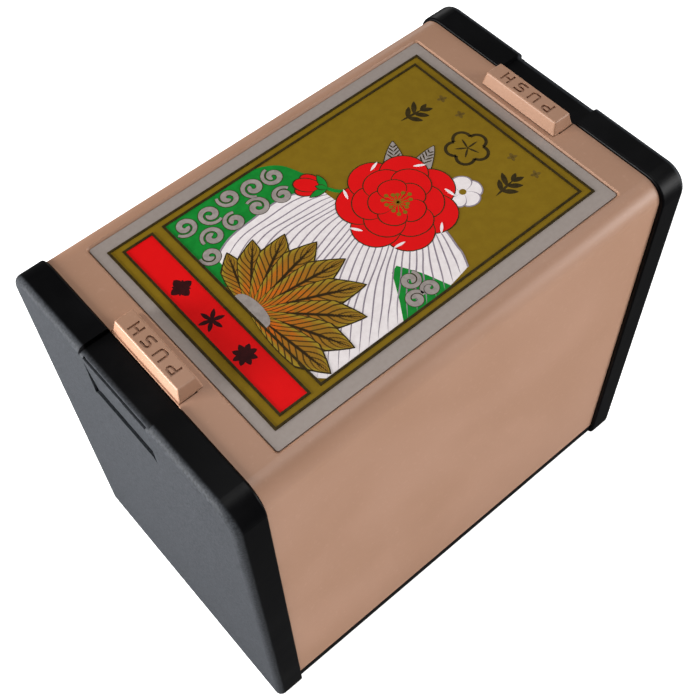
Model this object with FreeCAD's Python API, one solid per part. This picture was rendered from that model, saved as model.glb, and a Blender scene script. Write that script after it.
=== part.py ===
# Hard plastic case for one deck of small stiff flower cards.
#
# A black U-shaped base carries the deck between two tall end walls. A tan cover in the shape of an
# upturned U drops over the deck between the walls. A push tab at each end of the cover has a nose that
# springs out into a catch pocket in the wall. A printed label lies in a shallow recess on the cover.
#
# Millimetres. Origin: centre of the footprint, on the surface that the case stands on. X runs along the
# case from wall to wall, -Y is the front, +Z is up.
import FreeCAD, Part
import math
import os
from FreeCAD import Placement, Rotation, Vector

# ---- driving dimensions -------------------------------------------------------------------------------
# the deck
card_length = 54.0
card_width = 33.0
card_thickness = 0.96
card_corner = 1.2
card_gap = 0.02             # air between neighbouring cards
card_shift = 0.10           # how far a card may lie off the middle of the deck
card_turn = 0.12            # degrees that a card may lie askew
plants = ["pine", "plum", "cherry", "wisteria", "iris", "peony",
          "clover", "pampas", "chrysanthemum", "maple", "willow", "paulownia"]
cards_per_plant = 4

# the folded rules leaflet on top of the deck
leaf_paper = 0.14
leaf_gap = 0.06             # air inside the fold
leaf_margin_x = 2.0         # how much shorter than a card at each end
leaf_margin_y = 1.2

# room around the deck
end_room = 1.5
side_room = 1.55
headroom = 3.62

# base
end_wall = 3.9
wall_proud = 0.55           # end walls stand this far out from the cover, front and back
wall_above = 0.3            # and this far above it
wall_top_corner = 3.1
wall_low_corner = 1.0
wall_outer_round = 0.9
wall_inner_round = 0.25
foot = 0.7                  # the walls reach this far below the base plate
flange = 1.45               # thickness of the plate's visible edge
floor_rise = 0.6            # raised floor that the cover drops around
floor_clearance = 0.15
floor_skin = 1.3
floor_rim = 2.0             # solid rim around the hollow under the floor
rib_width = 1.2
rib_offset = 11.0           # ribs that centre the deck, either side of the middle
rib_clearance = 0.3
rib_lead = 0.84             # slope at a rib's top that leads the cards in
rib_below_deck_top = 4.0
core_depth = 1.6
core_margin = 1.4
core_above_floor = 3.0
core_below_grip = 3.0
core_corner = 1.5
overlap = 0.1               # how far shapes that are fused reach into each other

# thumb notch in the top edge of each wall, and the finger grip on its outer face
notch_depth = 0.7
notch_room = 0.35           # notch is this much wider than the push tab, each side
notch_round = 0.6
step_depth = 0.3            # narrow step in the outer face under the notch
step_below_notch = 0.4
step_width = 11.2
grip_depth = 0.35           # the grip slopes in to this depth at its ledge
grip_width = 11.4
grip_top_below_edge = 1.9
grip_height = 5.5
grip_lip_corner = 0.85

# cover
cover_wall = 1.5
cover_end_gap = 0.1
cover_seat_gap = 0.05
cover_round = 2.6
cover_inner_round = 1.1
cover_edge_round = 0.2

# label
label_length = 48.44
label_width = 33.05
label_thickness = 0.2
label_recess = 0.35
label_gap = 0.1
label_rim_slope = 0.25      # bevel round the top edge of the label's recess
label_corner = 0.3

# push tabs
tab_length = 11.8           # along Y
tab_depth = 3.05            # along X
tab_height = 1.8
tab_draft = 0.35
tab_round = 0.22
tab_from_wall = 0.3
latch_side_gap = 0.12
latch_plate_gap = 0.15      # plate of the latch to the end wall
pin_from_wall = 2.9         # pivot axis to the end wall
pin_radius = 0.5
pin_clearance = 0.04
neck_thickness = 0.4
lip_reach = 0.4             # the socket's lips reach this far past the axis
lip_gap = 0.3
tab_lift = 0.1              # air between the tab's overhang and the cover
tongue_from_wall = 0.5
tongue_thickness = 0.9
tongue_over_deck = 0.35
nose_height = 0.5
nose_from_end = 0.13
nose_width = 9.0
nose_gap = 0.04
nose_chamfer = 0.18
catch_depth = 0.35
catch_side = 0.2
catch_above = 0.35
catch_below = 0.15

# sunk letters on the tabs
letter_height = 1.5
letter_width = 1.3
letter_pitch = 2.15
letter_stroke = 0.3
letter_depth = 0.25

# ---- sizes that follow --------------------------------------------------------------------------------
card_pitch = card_thickness + card_gap
card_count = cards_per_plant * len(plants) + 1
leaf_thickness = 2 * leaf_paper + leaf_gap
deck_height = card_count * card_pitch + leaf_thickness + card_gap

inner_half = card_length / 2 + end_room
outer_half = inner_half + end_wall
cover_inner_half = card_width / 2 + side_room
cover_half = cover_inner_half + cover_wall
wall_half = cover_half + wall_proud

flange_top = foot + flange
floor_top = flange_top + floor_rise
deck_top = floor_top + deck_height
cover_bottom = flange_top + cover_seat_gap
cover_under = deck_top + headroom
cover_top = cover_under + cover_wall
wall_top = cover_top + wall_above
notch_floor = wall_top - notch_depth
notch_half = tab_length / 2 + notch_room
tab_top = cover_top + tab_height

pin_z = cover_under + cover_wall / 2
tongue_end = deck_top + tongue_over_deck
nose_low = tongue_end + nose_from_end
nose_high = nose_low + nose_height


# ---- helpers ------------------------------------------------------------------------------------------
def block(x0, x1, y0, y1, z0, z1):
    """A box between two corners."""
    return Part.makeBox(x1 - x0, y1 - y0, z1 - z0, Vector(x0, y0, z0))


def edges_where(shape, test):
    """The shape's edges whose bounding box passes the test."""
    return [edge for edge in shape.Edges if test(edge.BoundBox)]


def slab(half_x, half_y, z0, z1, corner):
    """A plate about the Z axis with rounded corners."""
    plate = block(-half_x, half_x, -half_y, half_y, z0, z1)
    upright = edges_where(plate, lambda box: box.ZLength > (z1 - z0) / 2)
    return plate.makeFillet(corner, upright)


def prism_y(points, y0, y1):
    """A closed outline of (x, z) points, carried along Y."""
    wire = Part.makePolygon([Vector(x, y0, z) for x, z in points + points[:1]])
    return Part.Face(wire).extrude(Vector(0, y1 - y0, 0))


def rod_y(x, z, radius, half_length):
    """A round bar along Y."""
    return Part.makeCylinder(radius, 2 * half_length, Vector(x, -half_length, z), Vector(0, 1, 0))


def other_end(shape):
    """The same shape at the case's other end."""
    return shape.mirror(Vector(0, 0, 0), Vector(1, 0, 0))


# ---- base ---------------------------------------------------------------------------------------------
def wall_plate():
    """Plain end wall at -X: a plate with rounded corners and softened edges."""
    plate = block(-outer_half, -inner_half, -wall_half, wall_half, 0, wall_top)
    long_x = edges_where(plate, lambda box: box.XLength > end_wall / 2)
    high = [edge for edge in long_x if edge.BoundBox.ZMin > wall_top / 2]
    plate = plate.makeFillet(wall_top_corner, high)
    low = edges_where(plate, lambda box: box.XLength > end_wall / 2 and box.ZMax < 0.01)
    plate = plate.makeFillet(wall_low_corner, low)
    outer = edges_where(plate, lambda box: box.XMax < -outer_half + 0.01)
    plate = plate.makeFillet(wall_outer_round, outer)
    inner = edges_where(plate, lambda box: box.XMin > -inner_half - 0.01)
    return plate.makeFillet(wall_inner_round, inner)


def thumb_notch():
    """Cutter for the notch in a wall's top edge, which leaves its outer edge rounded."""
    x0 = -outer_half - 1
    x1 = -outer_half + notch_round
    edge = block(x0, x1, -notch_half, notch_half, notch_floor - notch_round, notch_floor + overlap)
    edge = edge.cut(rod_y(x1, notch_floor - notch_round, notch_round, notch_half + 1))
    return edge.fuse(block(x0, -inner_half + 1, -notch_half, notch_half, notch_floor, wall_top + 1))


def notch_step():
    """Cutter for the narrow step in a wall's outer face, just under the thumb notch."""
    half = step_width / 2
    return block(-outer_half - 1, -outer_half + step_depth, -half, half, notch_floor - step_below_notch,
                 wall_top + 1)


def finger_grip():
    """Cutter for the grip on a wall's outer face: it slopes in towards a ledge with rounded ends."""
    half = grip_width / 2
    top = wall_top - grip_top_below_edge
    ledge = top - grip_height
    x0 = -outer_half - 1
    x1 = -outer_half + grip_depth
    low = ledge - grip_lip_corner
    pocket = prism_y([(x0, low), (x1, low), (x1, ledge), (-outer_half, top), (x0, top)], -half, half)
    lip = block(x0, x1 + overlap, -half, half, ledge - 2 * grip_lip_corner, ledge)
    ends = edges_where(lip, lambda box: box.XLength > grip_depth and box.ZMin > ledge - 0.01)
    return pocket.cut(lip.makeFillet(grip_lip_corner, ends))


def core_pockets():
    """Cutters for the two hollows that thin the wall behind the deck."""
    low = floor_top + core_above_floor
    high = wall_top - grip_top_below_edge - grip_height - core_below_grip
    near = core_margin
    far = rib_offset - rib_width / 2 - core_margin
    pocket = block(-inner_half - core_depth, -inner_half + 1, near, far, low, high)
    corners = edges_where(pocket, lambda box: box.XLength > core_depth)
    pocket = pocket.makeFillet(core_corner, corners)
    return pocket, pocket.mirror(Vector(0, 0, 0), Vector(0, 1, 0))


def end_wall_solid():
    """End wall at -X with its thumb notch, finger grip, catch pocket, hollows and guide ribs."""
    wall = wall_plate()
    wall = wall.cut(thumb_notch())
    wall = wall.cut(notch_step())
    wall = wall.cut(finger_grip())
    catch_half = nose_width / 2 + catch_side
    wall = wall.cut(block(-inner_half - catch_depth, -inner_half + 1, -catch_half, catch_half,
                          nose_low - catch_below, nose_high + catch_above))
    for pocket in core_pockets():
        wall = wall.cut(pocket)
    rib_end = -inner_half + end_room - rib_clearance
    for side in (-1, 1):
        middle = side * rib_offset
        rib = block(-inner_half - wall_inner_round, rib_end, middle - rib_width / 2, middle + rib_width / 2,
                    flange_top, deck_top - rib_below_deck_top)
        lead = edges_where(rib, lambda box: box.YLength > rib_width / 2 and box.ZMin > flange_top + 1
                           and box.XMin > rib_end - 0.01)
        wall = wall.fuse(rib.makeChamfer(rib_lead, lead))
    return wall


def base_frame():
    """The black moulding: base plate, raised floor and both end walls."""
    reach = inner_half + wall_inner_round
    frame = block(-reach, reach, -cover_half, cover_half, foot, flange_top)
    floor_half = cover_inner_half - floor_clearance
    frame = frame.fuse(block(-reach, reach, -floor_half, floor_half, flange_top - overlap, floor_top))
    hollow = slab(inner_half - floor_rim, floor_half - floor_rim, foot - 1, floor_top - floor_skin,
                  core_corner)
    frame = frame.cut(hollow)
    wall = end_wall_solid()
    frame = frame.fuse(wall).fuse(other_end(wall))
    return frame.removeSplitter()


# ---- cover --------------------------------------------------------------------------------------------
def latch_socket():
    """Cutter for the opening at the cover's -X end and the round socket that holds the latch's pin."""
    half = tab_length / 2 + latch_side_gap
    axis = -inner_half + pin_from_wall
    opening = block(-inner_half - 1, axis - lip_reach, -half, half, cover_under - 1, cover_top + 1)
    return opening.fuse(rod_y(axis, pin_z, pin_radius + pin_clearance, half))


def cover():
    """The tan upturned U, open at both ends, with the label recess and an opening for each latch."""
    end = inner_half - cover_end_gap
    shell = block(-end, end, -cover_half, cover_half, cover_bottom, cover_top)
    along = edges_where(shell, lambda box: box.XLength > end and box.ZMin > cover_top - 0.01)
    shell = shell.makeFillet(cover_round, along)
    inside = block(-end - 1, end + 1, -cover_inner_half, cover_inner_half, cover_bottom - 1, cover_under)
    along = edges_where(inside, lambda box: box.XLength > end and box.ZMin > cover_under - 0.01)
    shell = shell.cut(inside.makeFillet(cover_inner_round, along))
    recess_x = label_length / 2 + label_gap
    recess_y = label_width / 2 + label_gap
    recess = slab(recess_x, recess_y, cover_top - label_recess, cover_top + 1, label_corner + label_gap)
    shell = shell.cut(recess)
    rim = edges_where(shell, lambda box: box.ZMin > cover_top - 0.01 and abs(box.XMin) < recess_x + 0.01
                      and abs(box.XMax) < recess_x + 0.01 and abs(box.YMin) < recess_y + 0.01
                      and abs(box.YMax) < recess_y + 0.01)
    shell = shell.makeChamfer(label_rim_slope, rim)
    socket = latch_socket()
    shell = shell.cut(socket).cut(other_end(socket))
    rim = edges_where(shell, lambda box: box.XLength > end and box.ZMax < cover_bottom + 0.01
                      and abs(box.YMin) > cover_half - 0.01)
    return shell.makeFillet(cover_edge_round, rim)


def label():
    """The printed label, lying in the cover's recess."""
    low = cover_top - label_recess
    return slab(label_length / 2, label_width / 2, low, low + label_thickness, label_corner)


# ---- latches ------------------------------------------------------------------------------------------
def tab_block():
    """The raised push tab at the -X end, with sloping sides and softened edges."""
    low = cover_top + tab_lift
    x0 = -inner_half + tab_from_wall
    x1 = x0 + tab_depth
    half = tab_length / 2

    def outline(inset, z):
        corners = [(x0 + inset, -half + inset), (x1 - inset, -half + inset),
                   (x1 - inset, half - inset), (x0 + inset, half - inset)]
        return Part.makePolygon([Vector(x, y, z) for x, y in corners + corners[:1]])

    body = Part.makeLoft([outline(0, low), outline(tab_draft, tab_top)], True, True)
    soft = edges_where(body, lambda box: box.ZMax > tab_top - 0.01)
    return body.makeFillet(tab_round, soft)


def latch_body():
    """Latch at the -X end: pin, neck, plate, tongue with its nose, and push tab, in one moulding."""
    face = -inner_half
    axis = face + pin_from_wall
    half = tab_length / 2
    plate_end = axis - lip_reach - lip_gap
    plate = block(face + latch_plate_gap, plate_end, -half, half, cover_under, cover_top)
    neck = block(plate_end - overlap, axis, -half, half,
                 pin_z - neck_thickness / 2, pin_z + neck_thickness / 2)
    riser = block(face + tab_from_wall, plate_end, -half, half, cover_top - overlap,
                  cover_top + tab_lift + overlap)
    tongue_x = face + tongue_from_wall
    tongue_half = nose_width / 2
    tongue_top = cover_under + overlap
    tongue = block(tongue_x, tongue_x + tongue_thickness, -tongue_half, tongue_half, tongue_end, tongue_top)
    tip = face + nose_gap
    root = tongue_x + overlap
    nose = prism_y([(root, nose_low), (tip + nose_chamfer, nose_low), (tip, nose_low + nose_chamfer),
                    (tip, nose_high), (root, nose_high)], -tongue_half, tongue_half)
    body = plate.fuse([neck, rod_y(axis, pin_z, pin_radius, half), riser, tongue, nose, tab_block()])
    return body.removeSplitter()


def bar(a0, a1, b0, b1):
    """A straight stroke: a runs in the reading direction, b towards the letter's top."""
    return block(a0, a1, b0, b1, 0, letter_depth + 1)


def bow(a, b, start, sweep):
    """A curved stroke about (a, b), anticlockwise from start, as wide as the other strokes."""
    outer = letter_height / 4 + letter_stroke / 4
    height = letter_depth + 1
    centre = Vector(a, b, 0)
    ring = Part.makeCylinder(outer, height, centre, Vector(0, 0, 1), sweep)
    ring = ring.cut(Part.makeCylinder(outer - letter_stroke, height, centre))
    ring.rotate(centre, Vector(0, 0, 1), start)
    return ring


def letter_p():
    """Letter P from two bars' worth of strokes and one bow."""
    top = letter_height
    outer = letter_height / 4 + letter_stroke / 4
    low = top - 2 * outer
    turn = letter_width - outer
    return [bar(0, letter_stroke, 0, top), bar(0, turn, top - letter_stroke, top),
            bar(0, turn, low, low + letter_stroke), bow(turn, top - outer, -90, 180)]


def letter_u():
    """Letter U: two uprights and a floor with rounded corners."""
    outer = letter_height / 4 + letter_stroke / 4
    right = letter_width
    return [bar(0, letter_stroke, outer, letter_height),
            bar(right - letter_stroke, right, outer, letter_height),
            bow(outer, outer, 180, 90), bow(right - outer, outer, 270, 90),
            bar(outer, right - outer, 0, letter_stroke)]


def letter_s():
    """Letter S: three level strokes joined by two bows."""
    outer = letter_height / 4 + letter_stroke / 4
    top = letter_height
    right = letter_width
    middle = top - 2 * outer
    return [bar(outer, right, top - letter_stroke, top), bow(outer, top - outer, 90, 180),
            bar(outer, right - outer, middle, middle + letter_stroke), bow(right - outer, outer, -90, 180),
            bar(0, right - outer, 0, letter_stroke)]


def letter_h():
    """Letter H: two uprights and a crossbar."""
    right = letter_width
    middle = (letter_height - letter_stroke) / 2
    return [bar(0, letter_stroke, 0, letter_height), bar(right - letter_stroke, right, 0, letter_height),
            bar(0, right, middle, middle + letter_stroke)]


def sunk_word(middle_x):
    """Cutters for the word on a tab: it reads towards +Y with the letters' tops towards -X."""
    length = 3 * letter_pitch + letter_width
    turn = Placement(Vector(middle_x + letter_height / 2, 0, tab_top - letter_depth),
                     Rotation(Vector(0, 0, 1), 90))
    strokes = []
    for place, letter in enumerate((letter_p, letter_u, letter_s, letter_h)):
        for stroke in letter():
            stroke.translate(Vector(place * letter_pitch - length / 2, 0, 0))
            stroke.Placement = turn.multiply(stroke.Placement)
            strokes.append(stroke)
    return strokes


def latch(side):
    """The latch at one end: side is -1 for left and 1 for right."""
    body = latch_body()
    middle = inner_half - tab_from_wall - tab_depth / 2
    if side > 0:
        body = other_end(body)
    strokes = sunk_word(side * middle)
    return body.cut(strokes[0].fuse(strokes[1:]))


# ---- deck ---------------------------------------------------------------------------------------------
def card(place):
    """One card: a stiff board with rounded corners, lying a little off true like any hand-stacked card."""
    low = floor_top + card_gap + place * card_pitch
    body = slab(card_length / 2, card_width / 2, low, low + card_thickness, card_corner)
    body.rotate(Vector(0, 0, low), Vector(0, 0, 1), card_turn * math.sin(2.4 * place))
    along = card_shift * math.sin(1.7 * place + 0.4)
    across = 2 * card_shift * math.sin(2.9 * place)
    body.translate(Vector(along, across, 0))
    return body


def leaflet():
    """The folded rules sheet: two leaves joined by a round fold at one end."""
    low = floor_top + card_gap + card_count * card_pitch
    middle = low + leaf_thickness / 2
    x0 = -card_length / 2 + leaf_margin_x
    x1 = card_length / 2 - leaf_margin_x
    half = card_width / 2 - leaf_margin_y
    fold = x0 + leaf_thickness / 2
    sheet = block(fold, x1, -half, half, low, low + leaf_thickness)
    sheet = sheet.fuse(rod_y(fold, middle, leaf_thickness / 2, half))
    inside = block(fold, x1 + 1, -half - 1, half + 1, middle - leaf_gap / 2, middle + leaf_gap / 2)
    inside = inside.fuse(rod_y(fold, middle, leaf_gap / 2, half + 1))
    return sheet.cut(inside).removeSplitter()


# ---- output -------------------------------------------------------------------------------------------
def main():
    """Write one STEP file for each piece."""
    os.makedirs("parts", exist_ok=True)
    nodes = {"base_frame": base_frame(), "cover": cover(), "label": label(),
             "latch_left": latch(-1), "latch_right": latch(1), "leaflet": leaflet()}
    place = 0
    for plant in plants:
        for number in range(1, cards_per_plant + 1):
            nodes["card_%s_%d" % (plant, number)] = card(place)
            place += 1
    nodes["card_spare"] = card(place)
    for name, shape in nodes.items():
        if not shape.isValid() or len(shape.Solids) != 1:
            raise ValueError("%s is not one valid solid (%d)" % (name, len(shape.Solids)))
        shape.Solids[0].exportStep(os.path.join("parts", name + ".step"))
    size = (2 * outer_half, 2 * wall_half, tab_top, deck_height)
    print("case %.2f x %.2f x %.2f mm, deck %.2f mm high" % size)
    height = (inner_half - pin_from_wall, pin_z, nose_low, nose_high, cover_top)
    print("pin x %.3f z %.3f, nose %.2f-%.2f, cover top %.3f" % height)


main()
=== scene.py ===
"""Looks of a hard plastic case for one deck of small stiff flower cards.

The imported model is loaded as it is, and every node of it keeps its shape. Each node gets the finish
of the real piece, and the label gets its printing: thin layers of ink over the silver sheet.
"""
import math

import bmesh
import bpy
import numpy as np
from mathutils import Matrix, Vector


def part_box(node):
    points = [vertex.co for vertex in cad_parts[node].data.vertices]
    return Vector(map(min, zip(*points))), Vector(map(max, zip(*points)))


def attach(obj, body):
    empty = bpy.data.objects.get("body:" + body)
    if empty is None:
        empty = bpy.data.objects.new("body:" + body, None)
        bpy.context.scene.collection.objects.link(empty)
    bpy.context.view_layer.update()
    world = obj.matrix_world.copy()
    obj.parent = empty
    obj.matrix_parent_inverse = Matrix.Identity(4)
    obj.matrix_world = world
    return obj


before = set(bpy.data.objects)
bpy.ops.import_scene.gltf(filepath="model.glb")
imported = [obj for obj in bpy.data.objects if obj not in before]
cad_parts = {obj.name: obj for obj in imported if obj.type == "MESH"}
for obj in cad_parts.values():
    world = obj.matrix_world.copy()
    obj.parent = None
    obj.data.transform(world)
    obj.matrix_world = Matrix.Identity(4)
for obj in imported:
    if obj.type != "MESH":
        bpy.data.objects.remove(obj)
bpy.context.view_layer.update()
mm = 0.001


# ---- Camera --------------------------------------------------------------------------------------
# One plain camera, close above the left front corner, looking down on the cover. It stands level but
# for a small roll, and nothing is shifted or thrown out of focus.
camera_place = Vector((-49.892, -61.262, 153.043)) * mm
camera_aim = Vector((-0.94, 0.90, 30.0)) * mm
camera_roll = math.radians(-2.964)
lens_mm = 58.006
sensor_mm = 36.0
nearest_m = 0.005


def aimed(place, aim, roll=0.0):
    """The matrix of a camera or lamp at a place, level and looking at the aim, then rolled."""
    level = (aim - place).to_track_quat("-Z", "Y").to_matrix().to_4x4()
    return Matrix.Translation(place) @ level @ Matrix.Rotation(roll, 4, "Z")


camera = bpy.data.objects.new("camera", bpy.data.cameras.new("camera"))
camera.data.lens = lens_mm
camera.data.sensor_width = sensor_mm
camera.data.clip_start = nearest_m
camera.matrix_world = aimed(camera_place, camera_aim, camera_roll)
bpy.context.scene.collection.objects.link(camera)
bpy.context.scene.camera = camera


# ---- Base ----------------------------------------------------------------------------------------
# One black styrene moulding: base plate, raised floor and two end walls. The mould's outer faces were
# spark-eroded, so the walls carry a fine even grain there, and the rims that fingers rub are smoother.
def linear(hex_colour):
    """An sRGB hex colour as linear RGBA: the sRGB curve undone for each channel."""
    srgb = np.array([int(hex_colour[i:i + 2], 16) for i in (1, 3, 5)]) / 255
    flat = np.where(srgb <= 0.04045, srgb / 12.92, ((srgb + 0.055) / 1.055) ** 2.4)
    return (*flat.tolist(), 1.0)


def node(tree, kind, settings=None, inputs=None):
    """Adds a node. Settings are its properties, and inputs are values or other nodes' outputs."""
    made = tree.nodes.new("ShaderNode" + kind)
    for name, value in (settings or {}).items():
        setattr(made, name, value)
    for name, value in (inputs or {}).items():
        if isinstance(value, bpy.types.NodeSocket):
            tree.links.new(value, made.inputs[name])
        else:
            made.inputs[name].default_value = value
    return made


def finish(name, **sockets):
    """A new material with one Principled shader. Returns the material, its tree and the shader."""
    material = bpy.data.materials.new(name)
    material.use_nodes = True
    shader = material.node_tree.nodes["Principled BSDF"]
    for socket, value in sockets.items():
        shader.inputs[socket.replace("_", " ")].default_value = value
    return material, material.node_tree, shader


def own_place(tree):
    """Places in the piece's own frame, so that a pattern stays with the piece when it moves."""
    return node(tree, "TexCoord").outputs["Object"]


def maths(tree, operation, *values):
    """The result of one Math node on one, two or three values."""
    return node(tree, "Math", {"operation": operation}, dict(enumerate(values))).outputs[0]


def grain(tree, place, size_mm, detail, rough=0.5):
    """Noise whose lumps are about size_mm across, from 0 to 1."""
    return node(tree, "TexNoise", None, {"Vector": place, "Scale": 0.5 / (size_mm * mm),
                                         "Detail": detail, "Roughness": rough}).outputs["Fac"]


def ramp(tree, value, low, high, out_low=0.0, out_high=1.0):
    """A value between low and high, carried smoothly to the range out_low to out_high."""
    return node(tree, "MapRange", {"interpolation_type": "SMOOTHSTEP"},
                {"Value": value, "From Min": low, "From Max": high, "To Min": out_low,
                 "To Max": out_high}).outputs["Result"]


def blend(tree, share, first, second):
    """A colour between two, by a share from 0 to 1. Sockets 6 and 7 of a Mix node are its colours."""
    return node(tree, "Mix", {"data_type": "RGBA"}, {0: share, 6: first, 7: second}).outputs[2]


def mottle(tree, value, low, high, first, second):
    """A hex colour that turns into a second one as the value goes from low to high."""
    return blend(tree, ramp(tree, value, low, high), linear(first), linear(second))


def relief(tree, shader, height, depth_mm, strength):
    """Bumps in a shader's surface: a height from 0 to 1 stands for depth_mm of relief."""
    bump = node(tree, "Bump", None,
                {"Strength": strength, "Distance": depth_mm * mm, "Height": height})
    tree.links.new(bump.outputs["Normal"], shader.inputs["Normal"])


def dress(name, material):
    """Puts a material on every slot of a CAD node."""
    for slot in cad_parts[name].material_slots:
        slot.material = material


_, wall_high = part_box("base_frame")
grain_size_mm = 0.13        # the real grain is about 0.05 mm, drawn coarse enough to show
scuff_size_mm = 5.0
smooth_below_mm, grainy_above_mm = 0.95, 0.55       # distances in from a wall's outer face
grainy_roughness = 0.62

# injection-moulded black styrene: near black where the surface is smooth, grey where the grain
# scatters the light
styrene, tree, shader = finish("black_styrene_moulded", IOR=1.59, Specular_IOR_Level=0.08)
place = own_place(tree)
sideways = node(tree, "SeparateXYZ", None, {"Vector": place}).outputs["X"]
outer_face = ramp(tree, maths(tree, "ABSOLUTE", sideways), wall_high[0] - smooth_below_mm * mm,
                  wall_high[0] - grainy_above_mm * mm)
speckle = grain(tree, place, grain_size_mm, 3.0, 0.6)
scuff = grain(tree, place, scuff_size_mm, 4.0, 0.6)
grey = mottle(tree, speckle, 0.3, 0.7, "#26282B", "#393B3F")
black = mottle(tree, scuff, 0.4, 0.75, "#020203", "#060608")
tree.links.new(blend(tree, outer_face, black, grey), shader.inputs["Base Color"])
rubbed = ramp(tree, scuff, 0.3, 0.75, 0.36, 0.48)
# sockets 2 and 3 of a Mix node are its plain numbers
rough = node(tree, "Mix", None, {0: outer_face, 2: rubbed, 3: grainy_roughness})
tree.links.new(rough.outputs[0], shader.inputs["Roughness"])
relief(tree, shader, maths(tree, "MULTIPLY", speckle, outer_face), depth_mm=0.02, strength=0.5)
dress("base_frame", styrene)


# ---- Cover and push tabs -------------------------------------------------------------------------
# The cover is one pinkish tan moulding in the shape of an upturned U, and the two push tabs are small
# mouldings of the same plastic. They came off a satin mould, with faint flow marks in the colour.
flow_size_mm = 9.0
satin_size_mm = 0.3         # the real satin texture is finer, drawn coarse enough to show

# injection-moulded tan plastic: satin, with a soft pink sheen on slopes that face the light
tan, tree, shader = finish("tan_plastic_moulded", IOR=1.5)
place = own_place(tree)
flow = grain(tree, place, flow_size_mm, 3.0, 0.55)
satin = grain(tree, place, satin_size_mm, 3.0, 0.6)
colour = blend(tree, ramp(tree, satin, 0.55, 0.8, 0.0, 0.25),
               mottle(tree, flow, 0.3, 0.7, "#A37B62", "#A77F67"), linear("#BC957F"))
tree.links.new(colour, shader.inputs["Base Color"])
tree.links.new(ramp(tree, flow, 0.3, 0.7, 0.42, 0.5), shader.inputs["Roughness"])
relief(tree, shader, satin, depth_mm=0.01, strength=0.3)
for name in ("cover", "latch_left", "latch_right"):
    dress(name, tan)


# ---- Label sheet ---------------------------------------------------------------------------------
# A thin silver sheet with a lacquered face, cut to the recess in the cover and stuck down. It shows as
# the plain silver border round the printing.
tooth_size_mm = 0.25

# lacquered silver foil: a soft grey metal shine with a fine tooth
silver, tree, shader = finish("silver_foil_lacquered", Metallic=0.15, Roughness=0.5)
tooth = grain(tree, own_place(tree), tooth_size_mm, 2.0)
tree.links.new(blend(tree, tooth, linear("#92867F"), linear("#9E938C")),
               shader.inputs["Base Color"])
relief(tree, shader, tooth, depth_mm=0.01, strength=0.2)
dress("label", silver)


# ---- Label printing: ground, frame and end band --------------------------------------------------
# Screen-printed ink, one layer over another, each a few hundredths of a millimetre thick. The picture
# stands upright with its top at the case's right end. Places on the label are in millimetres from its
# lower left corner as the picture is read: t goes up the picture and s across it.
sheet_low, sheet_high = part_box("label")


def strips(name, left, right, top, material):
    """Closed thin strips of ink, each ruled between two edge lines.

    left and right hold one edge line a strip, as (strip, point, t and s). Each point of the pair of
    lines gives a four-cornered section, from the sheet up to top, which is in millimetres. The
    sections are skinned in turn and closed at both ends. The UV map runs along a strip in U and
    across it in V.
    """
    left, right = np.broadcast_arrays(np.asarray(left, float), np.asarray(right, float))
    count, points = left.shape[:2]
    tops = np.broadcast_to(np.asarray(top, float).reshape(-1, 1), (count, points))
    feet = np.zeros((count, points))
    corners = np.stack([left, left, right, right], axis=2)
    heights = np.stack([feet, tops, tops, feet], axis=2)
    places = np.empty((count, points, 4, 3))
    places[..., 0] = sheet_low[0] + corners[..., 0] * mm
    places[..., 1] = sheet_high[1] - corners[..., 1] * mm
    places[..., 2] = sheet_high[2] + heights * mm
    index = np.arange(count * points * 4).reshape(count, points, 4)
    turned = np.roll(index, -1, axis=2)
    sides = np.stack([index[:, :-1], turned[:, :-1], turned[:, 1:], index[:, 1:]], axis=-1)
    ends = np.concatenate([index[:, 0, ::-1], index[:, -1]])
    faces = np.concatenate([sides.reshape(-1, 4), ends])
    mesh = bpy.data.meshes.new(name)
    mesh.from_pydata(places.reshape(-1, 3), [], faces.tolist())
    run = np.broadcast_to(np.linspace(0, 1, points)[None, :, None], index.shape)
    across = np.broadcast_to(np.array([0.0, 0.0, 1.0, 1.0]), index.shape)
    uv = np.stack([run.ravel(), across.ravel()], axis=1)[faces.ravel()]
    mesh.uv_layers.new(name="print").data.foreach_set("uv", uv.ravel())
    outward = bmesh.new()
    outward.from_mesh(mesh)
    bmesh.ops.recalc_face_normals(outward, faces=outward.faces)
    outward.to_mesh(mesh)
    outward.free()
    piece = bpy.data.objects.new(name, mesh)
    bpy.context.scene.collection.objects.link(piece)
    mesh.materials.append(material)
    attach(piece, "cover")


def rectangle(t0, t1, s0, s1):
    """Left and right edges of one straight strip that fills a rectangle."""
    return np.array([[[t0, s0], [t1, s0]]]), np.array([[[t0, s1], [t1, s1]]])


def outline(t0, t1, s0, s1, width):
    """Edges of four mitred bars that frame a rectangle on its inside."""
    outer = np.array([[t0, s0], [t1, s0], [t1, s1], [t0, s1]])
    inner = np.array([[t0 + width, s0 + width], [t1 - width, s0 + width],
                      [t1 - width, s1 - width], [t0 + width, s1 - width]])
    return [np.stack([line, np.roll(line, -1, axis=0)], axis=1) for line in (outer, inner)]


def ink(name, first, second, size_mm=0.3, roughness=0.5):
    """Screen ink: two near colours mottled together, over the fine tooth of the sheet."""
    made, tree, shader = finish(name, Roughness=roughness, Specular_IOR_Level=0.1)
    lumps = grain(tree, own_place(tree), size_mm, 4.0, 0.6)
    tree.links.new(mottle(tree, lumps, 0.3, 0.7, first, second), shader.inputs["Base Color"])
    relief(tree, shader, lumps, depth_mm=0.01, strength=0.15)
    return made


gold_area = (1.29, 47.0, 1.68, 31.1)
band_area = (2.62, 6.67, 2.68, 30.13)
picture_area = (7.9, 45.85, 2.68, 30.13)
line_width = 0.28
ground_top, field_top, frame_top = 0.010, 0.020, 0.100

# gold ink: bronze powder in varnish, flat olive gold with a fine sparkle
gold_ink = ink("gold_ink_screen_printed", "#7C620E", "#826811", 0.6, 0.6)
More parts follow.
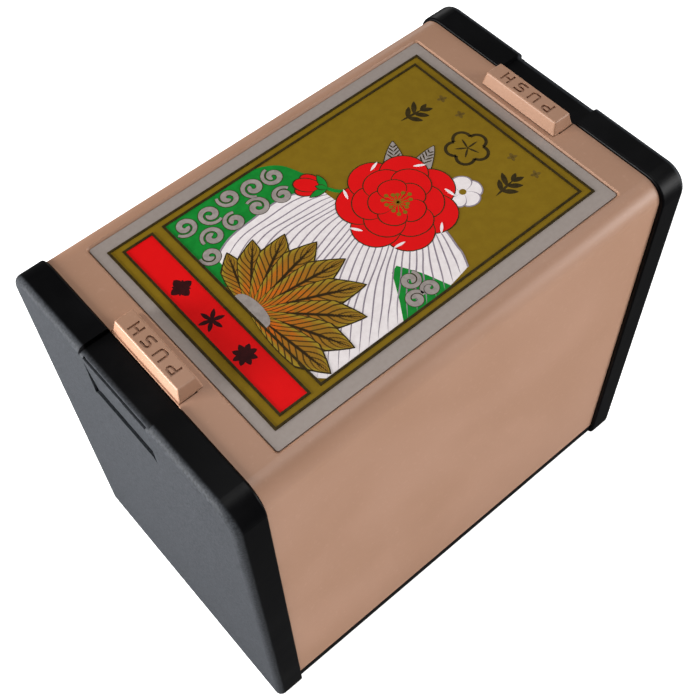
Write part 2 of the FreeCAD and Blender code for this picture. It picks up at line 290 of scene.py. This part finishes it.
# dark ink: brown black line work
dark_ink = ink("dark_ink_screen_printed", "#2A2108", "#3A2E10")
# red ink: dense warm red
red_ink = ink("red_ink_screen_printed", "#DB0609", "#DE080B", 0.8, 0.55)

strips("print_gold_ground", *rectangle(*gold_area), ground_top, gold_ink)
strips("print_red_band", *rectangle(*band_area), field_top, red_ink)
strips("print_gold_edge_line", *outline(*gold_area, line_width), frame_top, dark_ink)
strips("print_band_line", *outline(*band_area, line_width), frame_top, dark_ink)
strips("print_picture_line", *outline(*picture_area, line_width), frame_top, dark_ink)


# ---- Label printing: green cloth with pale scrolls -----------------------------------------------
# Two patches of green, at the picture's back left and front middle, with a plain scroll pattern of
# pale grey hooks. The scrolls are spirals that open out into a tail.
def smooth(points, count):
    """A smooth line through a few points: each coordinate is a cubic over the chord length."""
    points = np.asarray(points, float)
    run = np.concatenate([[0], np.cumsum(np.hypot(*np.diff(points, axis=0).T))])
    gap = np.diff(run)
    slope = np.diff(points, axis=0) / gap[:, None]
    tangent = np.concatenate([slope[:1], (slope[:-1] + slope[1:]) / 2, slope[-1:]])
    at = np.linspace(0, run[-1], count)
    piece = np.clip(np.searchsorted(run, at, side="right") - 1, 0, len(gap) - 1)
    part = ((at - run[piece]) / gap[piece])[:, None]
    width = gap[piece][:, None]
    return (points[piece] * (1 + 2 * part) * (1 - part) ** 2
            + tangent[piece] * width * part * (1 - part) ** 2
            + points[piece + 1] * part ** 2 * (3 - 2 * part)
            + tangent[piece + 1] * width * part ** 2 * (part - 1))


def along(paths, half_width):
    """Edges of ribbons: each path moved sideways, along its normal, by half_width each way."""
    paths = np.asarray(paths, float)
    run = np.gradient(paths, axis=1)
    run /= np.linalg.norm(run, axis=2, keepdims=True)
    side = np.stack([-run[..., 1], run[..., 0]], axis=2) * np.asarray(half_width, float)[..., None]
    return paths + side, paths - side


def toward(angle):
    """Unit vectors at angles: the cosine up the picture and the sine across it."""
    return np.stack([np.cos(angle), np.sin(angle)], axis=-1)


# green ink: fresh leaf green; pale grey ink: warm light grey
green_ink = ink("green_ink_screen_printed", "#0B7A28", "#12882F", 0.5)
grey_ink = ink("pale_grey_ink_screen_printed", "#8E8580", "#A09792")

back_patch = (smooth([(8.1, 2.9), (15, 2.9), (20.8, 2.95), (23.2, 4.4), (24.6, 7.4)], 40)[None],
              smooth([(8.1, 14.0), (12, 13.5), (17, 12.0), (21, 11.5), (24.0, 10.4)], 40)[None])
front_patch = (smooth([(23.6, 24.0), (24.9, 26.4), (26.2, 29.9)], 20)[None],
               smooth([(22.6, 24.4), (20.9, 27.4), (19.3, 29.9)], 20)[None])
front_top, scroll_shade_top, scroll_top = 0.038, 0.043, 0.048
strips("print_green_back", *back_patch, field_top, green_ink)
strips("print_green_front", *front_patch, front_top, green_ink)

# each scroll's place, turn, hand and size
scroll_place = np.array([(9.8, 4.5), (12.9, 4.9), (15.9, 4.3), (18.9, 5.0), (21.6, 5.2),
                         (11.3, 7.6), (14.4, 7.5), (17.6, 7.6), (20.7, 8.1), (9.5, 9.6),
                         (23.4, 26.4), (22.2, 28.6), (24.3, 28.6)])
scroll_turn = np.radians([20, 200, 75, 250, 130, 310, 160, 20, 200, 60, 100, 230, 320])
scroll_hand = np.array([1, -1, 1, -1, 1, -1, 1, -1, 1, 1, -1, 1, -1])
scroll_size = np.array([1.35, 1.4, 1.3, 1.4, 1.3, 1.35, 1.3, 1.35, 1.2, 1.2, 1.15, 1.1, 1.0])
scroll_sweep = math.radians(500)
scroll_rim = 0.07
turn = np.linspace(0, 1, 48)
# a scroll winds out from near its middle to its full size, and is thickest past half way
radius = scroll_size[:, None] * (0.22 + 0.78 * turn) ** 1.1
angle = scroll_turn[:, None] + scroll_hand[:, None] * turn * scroll_sweep
scrolls = scroll_place[:, None] + radius[..., None] * toward(angle)
scroll_half = 0.17 + 0.17 * np.sin(math.pi * turn ** 0.7)
strips("print_scroll_shade", *along(scrolls, scroll_half + scroll_rim), scroll_shade_top, dark_ink)
strips("print_scrolls", *along(scrolls, scroll_half), scroll_top, grey_ink)


# ---- Label printing: white stream ----------------------------------------------------------------
# White water that runs out from under the blossom, round the fan of leaves, to the picture's lower
# edges. It is laid in narrow bands, each a curve of second order, with thin grey lines between them.
stream_start = [(24.4, 10.3), (24.6, 12.4), (24.8, 14.5), (24.8, 16.6), (25.0, 18.6), (25.6, 20.4),
                (26.6, 21.8), (27.6, 22.8), (28.6, 23.3), (29.6, 23.6), (30.8, 23.8)]
stream_bend = [(17.0, 6.3), (16.4, 9.2), (15.6, 12.4), (15.0, 16.0), (15.0, 20.0), (16.4, 24.0),
               (19.0, 25.6), (21.2, 25.8), (23.6, 26.6), (26.4, 27.0), (30.4, 27.2)]
stream_end = [(9.8, 10.3), (9.6, 12.6), (9.2, 15.6), (8.7, 19.5), (8.5, 24.0), (8.5, 29.6),
              (12.0, 29.85), (16.4, 29.85), (20.4, 29.85), (25.4, 29.85), (29.2, 29.2)]
stream_bands = 30
stream_top, stream_line_top = 0.036, 0.040
edge_line_half = 0.11
sway_reach, sway_step, sway_waves = 0.30, 0.9, 2.6      # the bands sway as they run down
sway_along = 0.5            # share of the sway that also goes up the picture
line_half_widest = 0.085
down = np.linspace(0, 1, 32)
first, middle, last = (smooth(points, stream_bands + 1)[:, None]
                       for points in (stream_start, stream_bend, stream_end))
part = down[None, :, None]
lines = (1 - part) ** 2 * first + 2 * part * (1 - part) * middle + part ** 2 * last
sway = sway_reach * np.sin(sway_step * np.arange(stream_bands + 1)[:, None]
                           + sway_waves * math.pi * down)
sway = sway * np.sin(math.pi * down) ** 0.7
lines[..., 0] += sway_along * sway
lines[..., 1] -= sway
line_half = line_half_widest * np.sin(math.pi * np.clip(down * 0.9 + 0.12, 0, 1)) ** 0.5

# white ink: opaque, a little warm; line ink: soft grey violet
white_ink = ink("white_ink_screen_printed", "#E6DDDD", "#EFE7E7", 0.4)
line_ink = ink("soft_grey_line_ink", "#857A85", "#948A94")
strips("print_stream", lines[:-1], lines[1:], stream_top, white_ink)
strips("print_stream_lines", *along(lines[1:-1], line_half), stream_line_top, line_ink)
strips("print_stream_edges", *along(lines[[0, -1]], edge_line_half), stream_line_top, line_ink)


# ---- Label printing: fan of leaves ---------------------------------------------------------------
# Nine long leaves in ochre and orange fan out from a small grey tuft at the picture's lower edge. Each
# leaf overlaps the one before it and has a dark outline, a dark midrib and slanting veins.
def petals(centre, angle, length, half_width, shape):
    """Edges of leaf-like strips that start at a centre: the midline runs straight out at an angle.

    shape holds the half width along a strip as a share of half_width, from its root to its tip.
    """
    angle, length, half_width = (np.asarray(value, float).reshape(-1, 1)
                                 for value in (angle, length, half_width))
    centre = np.asarray(centre, float).reshape(-1, 1, 2)
    run = length * np.linspace(0, 1, len(shape))
    side = half_width * np.asarray(shape)
    ahead = toward(angle)
    across = ahead[..., ::-1] * [-1, 1]
    middle = centre + run[..., None] * ahead
    return middle + side[..., None] * across, middle - side[..., None] * across


def stacked(first, step, count):
    """Tops of overlapping strips: the first top, and a step more for each strip after it."""
    return first + step * np.arange(count)


def leaf_finish(name, veins):
    """Leaf ink: colour runs from orange at the root to ochre, with veins that slant off the midrib."""
    made, tree, shader = finish(name, Roughness=0.5, Specular_IOR_Level=0.1)
    uv = node(tree, "UVMap", {"uv_map": "print"}).outputs["UV"]
    part = node(tree, "SeparateXYZ", None, {"Vector": uv})
    run = part.outputs["X"]
    off = maths(tree, "ABSOLUTE", maths(tree, "SUBTRACT", part.outputs["Y"], 0.5))
    slant = maths(tree, "MULTIPLY_ADD", off, vein_slant, run)
    wave = maths(tree, "SINE", maths(tree, "MULTIPLY", slant, veins * 2 * math.pi))
    patch = grain(tree, own_place(tree), 0.8, 4.0, 0.65)
    glow = maths(tree, "MULTIPLY", ramp(tree, run, 0.1, 0.85, 1.0, 0.0),
                 ramp(tree, patch, 0.3, 0.62))
    body = blend(tree, glow, linear("#8F6A1C"), linear("#D8600E"))
    body = blend(tree, ramp(tree, off, 0.3, 0.48), body, linear("#9A8224"))
    veined = blend(tree, ramp(tree, wave, 0.45, 0.85), body, linear("#4A3410"))
    ribbed = blend(tree, ramp(tree, off, 0.03, 0.07, 1.0, 0.0), veined, linear("#2E2008"))
    tree.links.new(ribbed, shader.inputs["Base Color"])
    return made


leaf_count = 9
leaf_veins = 11
vein_slant = -0.42          # how far a vein runs back along the leaf, per leaf width off the midrib
fan_centre = (8.2, 18.3)
step = np.arange(leaf_count)
leaf_angle = np.radians(np.interp(step, [0, leaf_count - 1], [-70, 83]))
leaf_length = np.interp(step, [0, 2, 5, 8], [8.2, 10.6, 12.4, 11.3])
leaf_half = np.interp(step, [0, 3, 8], [1.35, 1.85, 1.75])
leaf_widest = 0.72
leaf_rim_length, leaf_rim = 0.25, 0.12
leaf_top, leaf_ink_over = stacked(0.050, 0.004, leaf_count), 0.002
# a leaf swells from a narrow root to its widest place, and then draws in to a point
run = np.linspace(0, 1, 40)
leaf_shape = np.where(run < leaf_widest,
                      0.12 + 0.88 * np.sin(math.pi / 2 * run / leaf_widest) ** 0.9,
                      ((1 - run) / (1 - leaf_widest)) ** 0.85)
leaf_shape = np.clip(leaf_shape, 0.012, None)

# leaf ink: bronze ochre that glows orange toward the root
leaf_ink = leaf_finish("leaf_ink_screen_printed", leaf_veins)
strips("print_leaf_outlines", *petals(fan_centre, leaf_angle, leaf_length + leaf_rim_length,
                                      leaf_half + leaf_rim, leaf_shape), leaf_top, dark_ink)
strips("print_leaves", *petals(fan_centre, leaf_angle, leaf_length, leaf_half, leaf_shape),
       leaf_top + leaf_ink_over, leaf_ink)

# a half round tuft: its flat foot lies just behind the fan's centre
tuft_reach, tuft_half, tuft_top = 1.35, 2.7, 0.096
arc_back, foot_back = 0.05, 0.1
tuft_angle = np.linspace(-math.pi / 2, math.pi / 2, 24)
tuft_arc = np.stack([fan_centre[0] - arc_back + tuft_reach * np.cos(tuft_angle) ** 0.7,
                     fan_centre[1] + tuft_half * np.sin(tuft_angle)], axis=1)[None]
tuft_foot = tuft_arc * [0, 1] + [fan_centre[0] - foot_back, 0]
strips("print_tuft", tuft_arc, tuft_foot, tuft_top, grey_ink)


# ---- Label printing: blossom ---------------------------------------------------------------------
# A red peony with three rings of petals and gold stamens, a red bud on a short stalk, a small white
# blossom half hidden behind it, and two grey leaves.
def evenly(count, turned=0.0):
    """Angles set evenly round a full turn, the first one at turned."""
    return np.arange(count) * 2 * math.pi / count + turned


def hump(count, start, power, lowest, skew=1.0):
    """Half widths of a slender strip, as shares: half a sine wave over its length, to a power.

    start is where on the wave the root lies, a skew under 1 moves the widest place to the root, and
    lowest keeps the ends from closing.
    """
    wave = np.sin(math.pi * np.linspace(start, 1, count) ** skew)
    return np.clip(wave ** power, lowest, None)


# a petal swells from its root to its widest place, and ends in a round arc
petal_widest, petal_tip = 0.62, 0.385
round_petal = np.clip(
    np.sqrt(np.clip(1 - ((run - petal_widest) / petal_tip) ** 2, 0, 1)) * (run > petal_widest)
    + np.sin(math.pi / 2 * run / petal_widest) ** 0.8 * (run <= petal_widest), 0.05, None)
slender = hump(16, 0, 0.7, 0.05)
dot = np.sqrt(np.clip(1 - np.linspace(-0.98, 0.98, 12) ** 2, 0, 1))
thread = np.ones(12)

bloom_centre = np.array([29.6, 17.6])
# each ring's petals, turn in degrees, length and half width
rings = ((7, 12, 6.9, 2.75), (6, 40, 5.1, 2.3), (5, 5, 3.3, 1.6))
bloom_angle = np.concatenate([evenly(ring[0], math.radians(ring[1])) for ring in rings])
bloom_length, bloom_half = np.repeat([ring[2:] for ring in rings],
                                     [ring[0] for ring in rings], axis=0).T
bloom_rim_length, bloom_rim = 0.12, 0.11
bloom_top, bloom_ink_over = stacked(0.050, 0.0024, len(bloom_angle)), 0.0012
strips("print_bloom_outlines", *petals(bloom_centre, bloom_angle, bloom_length + bloom_rim_length,
                                       bloom_half + bloom_rim, round_petal), bloom_top, dark_ink)
strips("print_bloom", *petals(bloom_centre, bloom_angle, bloom_length, bloom_half, round_petal),
       bloom_top + bloom_ink_over, red_ink)

# stamens: small gold dots on short lines about the bloom's middle
stamen_count = 14
stamen_line_top, stamen_top = 0.0975, stacked(0.0985, 0.0002, stamen_count)
stamen_angle = evenly(stamen_count)
stamen_length = 1.15 + 0.35 * np.cos(3 * stamen_angle)
strips("print_stamen_lines", *petals(bloom_centre, stamen_angle, stamen_length, 0.055, thread),
       stamen_line_top, gold_ink)
stamen_tip = bloom_centre + stamen_length[:, None] * toward(stamen_angle)
strips("print_stamens", *petals(stamen_tip, stamen_angle, 0.5, 0.25, dot), stamen_top, gold_ink)

# white ticks along the outer petals, where the light catches their edges
tick_distance, tick_lean, tick_top = 5.6, 1.1, 0.0972
tick_angle = bloom_angle[:rings[0][0]] + 0.16
tick_place = bloom_centre + tick_distance * toward(tick_angle)
strips("print_petal_lights", *petals(tick_place, tick_angle + tick_lean, 1.5, 0.17, slender),
       tick_top, white_ink)

# bud: three overlapping petals on a short stalk, in two small green leaves
bud_foot = np.array([25.0, 10.6])
bud_angle = np.radians([-146, -108, -127])
stalk_top = 0.049
bud_top, cup_top, bud_ink_over = stacked(0.050, 0.002, 3), stacked(0.056, 0.002, 3), 0.001
strips("print_bud_stalk", *along(smooth([(26.6, 12.6), (25.6, 11.7), (25.0, 10.6)], 12)[None],
                                 0.22), stalk_top, green_ink)
strips("print_bud_outlines", *petals(bud_foot, bud_angle, [3.6, 3.5, 3.9], [0.95, 0.95, 1.05],
                                     round_petal), bud_top, dark_ink)
strips("print_bud", *petals(bud_foot, bud_angle, [3.45, 3.35, 3.75], [0.83, 0.83, 0.93],
                            round_petal), bud_top + bud_ink_over, red_ink)
cup_angle = np.radians([-176, -78, -127])
cup_shape = hump(20, 0.12, 0.8, 0.04)
strips("print_bud_cup_outlines", *petals(bud_foot, cup_angle, [2.3, 2.3, 1.3],
                                         [0.50, 0.50, 0.42], cup_shape), cup_top, dark_ink)
strips("print_bud_cup", *petals(bud_foot, cup_angle, [2.15, 2.15, 1.15], [0.40, 0.40, 0.32],
                                cup_shape), cup_top + bud_ink_over, green_ink)

# small white blossom, five round petals with a gold eye, half under the red one
white_centre = np.array([36.0, 21.3])
white_angle = evenly(5, 0.35)
white_top, white_ink_over, eye_top = stacked(0.0405, 0.0016, 5), 0.0008, 0.0495
eye_half = 0.42
strips("print_white_bloom_outlines", *petals(white_centre, white_angle, 2.35, 1.22, round_petal),
       white_top, line_ink)
strips("print_white_bloom", *petals(white_centre, white_angle, 2.2, 1.08, round_petal),
       white_top + white_ink_over, white_ink)
strips("print_white_bloom_eye", *petals(white_centre - [eye_half, 0], 0.0, 2 * eye_half, eye_half,
                                        dot), eye_top, gold_ink)

# two grey leaves behind the bloom, dark ribbed
back_leaf_angle = np.radians([-52, -22])
back_leaf_shape = hump(24, 0.05, 0.75, 0.04, 0.9)
back_leaf_top, back_leaf_ink_over, rib_top = stacked(0.040, 0.002, 2), 0.001, 0.0445
strips("print_back_leaf_outlines", *petals(bloom_centre, back_leaf_angle, [9.3, 9.5], [1.5, 1.45],
                                           back_leaf_shape), back_leaf_top, dark_ink)
strips("print_back_leaves", *petals(bloom_centre, back_leaf_angle, [9.15, 9.35], [1.38, 1.33],
                                    back_leaf_shape), back_leaf_top + back_leaf_ink_over, grey_ink)
rib_lean = 0.7
rib_angle = np.repeat(back_leaf_angle, 8)
rib_place = np.tile(np.repeat([6.4, 7.0, 7.6, 8.2], 2), 2)
rib_length = np.tile(np.repeat([1.25, 1.1, 0.9, 0.6], 2), 2)
rib_foot = bloom_centre + rib_place[:, None] * toward(rib_angle)
strips("print_back_leaf_ribs", *petals(rib_foot, rib_angle + np.tile([rib_lean, -rib_lean], 8),
                                       rib_length, 0.09, slender), rib_top, dark_ink)


# ---- Label printing: small marks -----------------------------------------------------------------
# Plain dark marks in place of writing: two sprigs and a five-petalled flower outline at the top of
# the picture, four specks beside them, and three rosettes on the red band.
def sprig(foot, lean):
    """Edges of one sprig: six slender leaves in pairs along a stem, and the stem, each a strip."""
    up = np.array([0.9, 0.9, 1.9, 1.9, 2.8, 2.8, 0.0])
    turns = lean + np.radians([52, -48, 46, -55, 24, -20, 0])
    lengths = [1.9, 1.7, 1.8, 2.0, 1.5, 1.3, 3.0]
    halves = [0.34, 0.31, 0.34, 0.32, 0.31, 0.28, 0.16]
    return petals(np.asarray(foot) + up[:, None] * toward(lean), turns, lengths, halves,
                  np.clip(slender, 0.12, None))


thread_top = 0.0205
for name, foot, lean in (("print_sprig_left", (38.2, 8.6), 0.10),
                         ("print_sprig_right", (38.4, 24.2), -0.12)):
    strips(name, *sprig(foot, lean), stacked(field_top, 0.0004, 7), dark_ink)

mark_centre = np.array([41.0, 16.9])
mark_reach, lobe_radius, lobe_line_half = 1.5, 1.05, 0.19
mark_turn = evenly(5)
arc = np.radians(np.linspace(-93, 93, 24))[None] + mark_turn[:, None]
arcs = mark_centre + mark_reach * toward(mark_turn)[:, None] + lobe_radius * toward(arc)
strips("print_flower_outline", *along(arcs, lobe_line_half), field_top, dark_ink)
strips("print_flower_threads", *petals(mark_centre, mark_turn, mark_reach, 0.12, slender),
       thread_top, dark_ink)

# thin brown ink: faint specks on the gold
brown_ink = ink("thin_brown_ink", "#5E4A18", "#6A5520", 0.3, 0.55)
speck_centre = np.repeat([(44.2, 9.2), (44.0, 12.5), (43.8, 21.3), (43.9, 24.9)], 4, axis=0)
strips("print_specks", *petals(speck_centre, np.tile(evenly(4, 0.4), 4), 0.62, 0.2, slender),
       thread_top, brown_ink)

# each rosette's centre, petals, length, half width and turn
rosettes = (((4.6, 10.9), 4, 1.35, 0.50, 0.0), ((4.6, 10.9), 4, 1.05, 0.22, math.pi / 4),
            ((4.5, 16.4), 6, 1.50, 0.26, 0.3), ((4.5, 22.1), 8, 1.40, 0.36, 0.2))
marks = [petals(centre, evenly(count, turned), length, half, slender)
         for centre, count, length, half, turned in rosettes]
mark_left, mark_right = (np.concatenate(side) for side in zip(*marks))
# soot ink: near black with a red cast, printed over the red
soot_ink = ink("soot_ink_screen_printed", "#2A0608", "#360A0C", 0.3, 0.55)
strips("print_rosettes", mark_left, mark_right, stacked(0.022, 0.0002, len(mark_left)), soot_ink)


# ---- Deck ----------------------------------------------------------------------------------------
# Forty-eight cards and a spare, pressed board with a black paper back that is folded round the edges
# and lacquered. The folded rules sheet lies on top, thin uncoated paper.
fibre_size_mm = {"card": 0.5, "leaflet": 0.7}

# lacquered black paper: satin black, with the paper's fibres showing faintly through
card_black, tree, shader = finish("black_lacquered_paper", Roughness=0.4, IOR=1.5)
fibre = grain(tree, own_place(tree), fibre_size_mm["card"], 5.0, 0.7)
tree.links.new(mottle(tree, fibre, 0.35, 0.75, "#17171A", "#26262B"), shader.inputs["Base Color"])
relief(tree, shader, fibre, depth_mm=0.015, strength=0.3)
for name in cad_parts:
    if name.startswith("card_"):
        dress(name, card_black)

# uncoated paper: soft off-white with faint fibres
paper, tree, shader = finish("uncoated_paper", Roughness=0.85)
fibre = grain(tree, own_place(tree), fibre_size_mm["leaflet"], 6.0, 0.7)
tree.links.new(mottle(tree, fibre, 0.3, 0.7, "#DCD6C8", "#E8E3D7"), shader.inputs["Base Color"])
relief(tree, shader, fibre, depth_mm=0.02, strength=0.3)
dress("leaflet", paper)


# ---- Floor and light -----------------------------------------------------------------------------
# A plain white table lit from within, in a dim room. Soft square lights stand low on the left, low in
# front on the right, high overhead, and far off at the back.
floor_z = -0.02 * mm        # just clear of the feet
floor_half = 25.0
floor_mesh = bpy.data.meshes.new("floor")
floor_mesh.from_pydata([(-floor_half, -floor_half, floor_z), (floor_half, -floor_half, floor_z),
                        (floor_half, floor_half, floor_z), (-floor_half, floor_half, floor_z)],
                       [], [(0, 1, 2, 3)])
floor = bpy.data.objects.new("floor", floor_mesh)
bpy.context.scene.collection.objects.link(floor)
# white acrylic, lit from below: an even white without shadows
white_table, _, _ = finish("lit_white_acrylic_table", Roughness=0.9, Base_Color=linear("#E2E2E2"),
                           Emission_Color=(1.0, 1.0, 1.0, 1.0), Emission_Strength=0.95)
floor_mesh.materials.append(white_table)
floor.visible_glossy = False


def soft_light(name, place, size, power):
    """A square light that shines at the middle of the case. Place and size are in metres."""
    lamp = bpy.data.lights.new(name, "AREA")
    lamp.shape = "SQUARE"
    lamp.size = size
    lamp.energy = power
    made = bpy.data.objects.new(name, lamp)
    made.visible_camera = False
    made.matrix_world = aimed(Vector(place), camera_aim)
    bpy.context.scene.collection.objects.link(made)


soft_light("light_left", (-0.24, 0.08, 0.075), 0.12, 1.70)
soft_light("light_front", (0.26, -0.22, 0.12), 0.15, 0.95)
soft_light("light_high", (0.10, 0.0, 0.44), 0.20, 0.72)
soft_light("light_back", (0.30, 0.45, 0.12), 0.15, 0.20)

# a dim room with a pale backdrop: the backdrop is only seen, and lights nothing
world = bpy.data.worlds.new("dim_room")
world.use_nodes = True
tree = world.node_tree
seen = node(tree, "LightPath").outputs["Is Camera Ray"]
tree.links.new(blend(tree, seen, linear("#616161"), linear("#F4F4F4")),
               tree.nodes["Background"].inputs["Color"])
bpy.context.scene.world = world
bpy.context.scene.view_settings.view_transform = "Standard"
